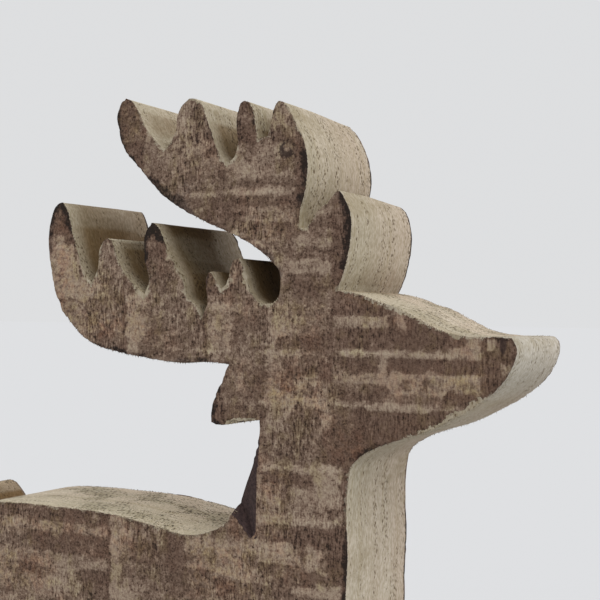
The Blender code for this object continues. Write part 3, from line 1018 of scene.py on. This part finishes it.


# The sawn sides: bare pale wood with pores and smudges along the grain, with painted light
# on the faces that look up and painted shade underneath and where they are shut in. It
# returns where the pores are, too
def sawnColour(tree, wood):
    mix = sawnMix
    across = timesPlus(tree, offCentre(tree, wood.clouds), 0.05, wood.alongY)
    pale = blend(tree, remap(tree, across, -0.020, 0.016),
                 woodColour("sawnNear"), woodColour("sawnFar"))
    cloudy = remap(tree, wood.clouds, 0.50, 0.70, 0.0, mix["clouds"])
    pale = blend(tree, cloudy, pale, woodColour("sawnCloud"))
    bySnout = remap(tree, wood.alongX, 0.086, 0.098, 0.0, mix["snout"])
    pale = blend(tree, bySnout, pale, woodColour("sawnSnout"))
    pale = tintBy(tree, remap(tree, wood.alongX, 0.047, 0.053), pale, "brow")
    # Painted light: faces that look up are made much lighter, less so on the head
    upwards = remap(tree, wood.facing[2], 0.70, 0.98)
    head = remap(tree, wood.alongX, 0.030, 0.052, 1.0, mix["headTopLight"])
    pale = tintBy(tree, times(tree, upwards, head), pale, "top")
    # Painted shade: faces that look down are made darker
    pale = tintBy(tree, remap(tree, wood.facing[2], -0.15, -0.75), pale, "shadedUnderside")
    crumbly = remap(tree, timesPlus(tree, wood.crumbs, 0.5, wood.fine), 0.58, 0.94)
    pale = blend(tree, crumbly, tinted(tree, pale, "darker"), tinted(tree, pale, "lighter"))
    greyLines = remap(tree, wood.grainLines, 0.50, 0.68, 0.0, mix["greyLines"])
    lightLines = remap(tree, wood.grainLines, 0.48, 0.34, 0.0, mix["lightLines"])
    pale = tintBy(tree, lightLines, tintBy(tree, greyLines, pale, "greyLine"), "lightLine")

    sideRadius = remap(tree, wood.poreLines, 0.43, 0.61, 0.07, 0.42)
    sidePores = poreDots(tree, wood.place, (1400, 1400, 760), sideRadius)
    pale = blend(tree, times(tree, sidePores, mix["sidePores"]), pale,
                 woodColour("sidePore"))
    smudged = remap(tree, wood.smudge, 0.54, 0.70, 0.0, mix["smudges"])
    pale = blend(tree, smudged, pale, woodColour("smudge"))
    stripes = timesPlus(tree, wood.alongY, 330.0, times(tree, wood.alongX, 45.0))
    bands = sumUp(tree, "SINE", stripes)
    scatter = timesPlus(tree, bands, 0.06, wood.scatter)
    mossy = remap(tree, scatter, 0.46, 0.64, 0.0, mix["moss"])
    pale = blend(tree, times(tree, upwards, mossy), pale, woodColour("moss"))
    topRadius = remap(tree, scatter, 0.40, 0.58, 0.14, 0.42)
    topPores = poreDots(tree, wood.place, (1450, 560, 950), topRadius)
    topPores = times(tree, times(tree, topPores, mix["topPores"]), upwards)
    pale = blend(tree, topPores, pale, woodColour("topPore"))

    # Painted shade and dirt: dark brown where a side is shut in, weaker by the front rim
    shadeFadesNearFront = remap(tree, wood.alongY, -0.0185, -0.0120, 0.35, 1.0)
    shutInShade = remap(tree, timesPlus(tree, wood.clusters, 0.40, wood.cavity), 0.34, 0.85)
    pale = tintBy(tree, times(tree, shutInShade, shadeFadesNearFront), pale, "shadeDirtTint")
    return pale, sumUp(tree, "MAXIMUM", topPores, sidePores)


# Where the stain lies: it ends at the rim, which is worn bare in places
def stainCover(tree, wood):
    fromMiddle = sumUp(tree, "MAXIMUM", times(tree, wood.alongY, -1.0),
                       plus(tree, wood.alongY, 0.0004))
    border = timesPlus(tree, offCentre(tree, wood.specks), 0.0012, fromMiddle)
    faceOn = remap(tree, sumUp(tree, "ABSOLUTE", wood.facing[1]), 0.62, 0.75)
    cover = sumUp(tree, "MAXIMUM", remap(tree, border, 0.01920, 0.01945), faceOn)
    lipStart = remap(tree, wood.worn, 0.66, 0.98, 0.84, 0.44)
    lip = remap(tree, wood.nearRim, lipStart, plus(tree, lipStart, 0.14))
    lip = times(tree, lip, remap(tree, wood.worn, 0.56, 0.78), clamp=True)
    return times(tree, cover, timesPlus(tree, lip, -0.8, 1.0))


def stainedWood():
    material = bpy.data.materials.new("stainedRoughSawnWood")
    material.use_nodes = True
    tree = material.node_tree
    shader = tree.nodes["Principled BSDF"]
    wood = woodSources(tree)
    pale, pores = sawnColour(tree, wood)
    cover = stainCover(tree, wood)
    skin = blend(tree, cover, pale, stainColour(tree, wood))
    inSplit = blend(tree, remap(tree, wood.streaks, 0.3, 0.7),
                    woodColour("splitDark"), woodColour("splitPale"))
    skin = blend(tree, remap(tree, wood.split, 0.4, 0.7), skin, inSplit)
    tree.links.new(skin, shader.inputs["Base Color"])
    shader.inputs["Roughness"].default_value = woodSkin["roughness"]
    shader.inputs["Specular IOR Level"].default_value = woodSkin["shine"]

    faceHeight = timesPlus(tree, wood.streaks, 0.6, times(tree, wood.specks, 0.6))
    sideHeight = timesPlus(tree, wood.fine, 0.35, times(tree, pores, -0.5))
    heights = tree.nodes.new("ShaderNodeMix")
    for socket, value in ((0, cover), (2, sideHeight), (3, faceHeight)):
        connect(tree, heights.inputs[socket], value)
    bump = tree.nodes.new("ShaderNodeBump")
    bump.inputs["Strength"].default_value = woodSkin["bumpStrength"]
    bump.inputs["Distance"].default_value = woodSkin["bumpDepth"]
    tree.links.new(heights.outputs[0], bump.inputs["Height"])
    tree.links.new(bump.outputs[0], shader.inputs["Normal"])
    return material


sawnReindeer = copyOfSolid("reindeer", "sawnReindeer")
rimSamples = outlineSamples(sawnReindeer.data, reindeer["sampleStep"])
evenCells(sawnReindeer)
sampleTree = rimTree(rimSamples)
rimRounding = farRounding(rimSamples, sampleTree)
paintAndShape(sawnReindeer, rimSamples, sampleTree, rimRounding)
print("Wood shaped")
fibrePieces = addFibres(rimSamples, rimRounding)
bpy.ops.object.select_all(action="DESELECT")
fibrePieces.select_set(True)
sawnReindeer.select_set(True)
bpy.context.view_layer.objects.active = sawnReindeer
bpy.ops.object.join()
bpy.ops.object.shade_smooth_by_angle(angle=math.radians(reindeer["smoothAngle"]))
sawnReindeer.data.materials.clear()
sawnReindeer.data.materials.append(stainedWood())
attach(sawnReindeer, "root")
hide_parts("reindeer")
triangles = sum(len(polygon.vertices) - 2 for polygon in sawnReindeer.data.polygons)
print("Wood finished:", triangles, "triangles")


# Floor, sky and light
studio = {
    "skyColour": (0.728, 0.735, 0.745),
    "floorColour": (0.696, 0.699, 0.707),
    "floorSize": 60.0,
    "keyFrom": (0.75, -0.30, 0.90),
    "keyStrength": 1.40,
    "keySpread": 55.0,
}


def addStudio(settings):
    bpy.ops.object.select_all(action="DESELECT")
    bpy.ops.mesh.primitive_plane_add(size=settings["floorSize"])
    floor = bpy.context.object
    floor.name = "paleFloor"
    material = bpy.data.materials.new("paleFloor")
    material.use_nodes = True
    shader = material.node_tree.nodes["Principled BSDF"]
    shader.inputs["Base Color"].default_value = (*settings["floorColour"], 1.0)
    shader.inputs["Roughness"].default_value = 1.0
    shader.inputs["Specular IOR Level"].default_value = 0.0
    floor.data.materials.append(material)
    world = bpy.data.worlds.new("softSky")
    world.use_nodes = True
    background = world.node_tree.nodes["Background"]
    background.inputs["Color"].default_value = (*settings["skyColour"], 1.0)
    bpy.context.scene.world = world
    bpy.ops.object.light_add(type="SUN")
    key = bpy.context.object
    key.name = "softKey"
    key.data.energy = settings["keyStrength"]
    key.data.angle = math.radians(settings["keySpread"])
    key.rotation_euler = Vector(settings["keyFrom"]).to_track_quat("Z", "Y").to_euler()
    bpy.context.scene.view_settings.view_transform = "Standard"


addStudio(studio)
print("Studio lit")
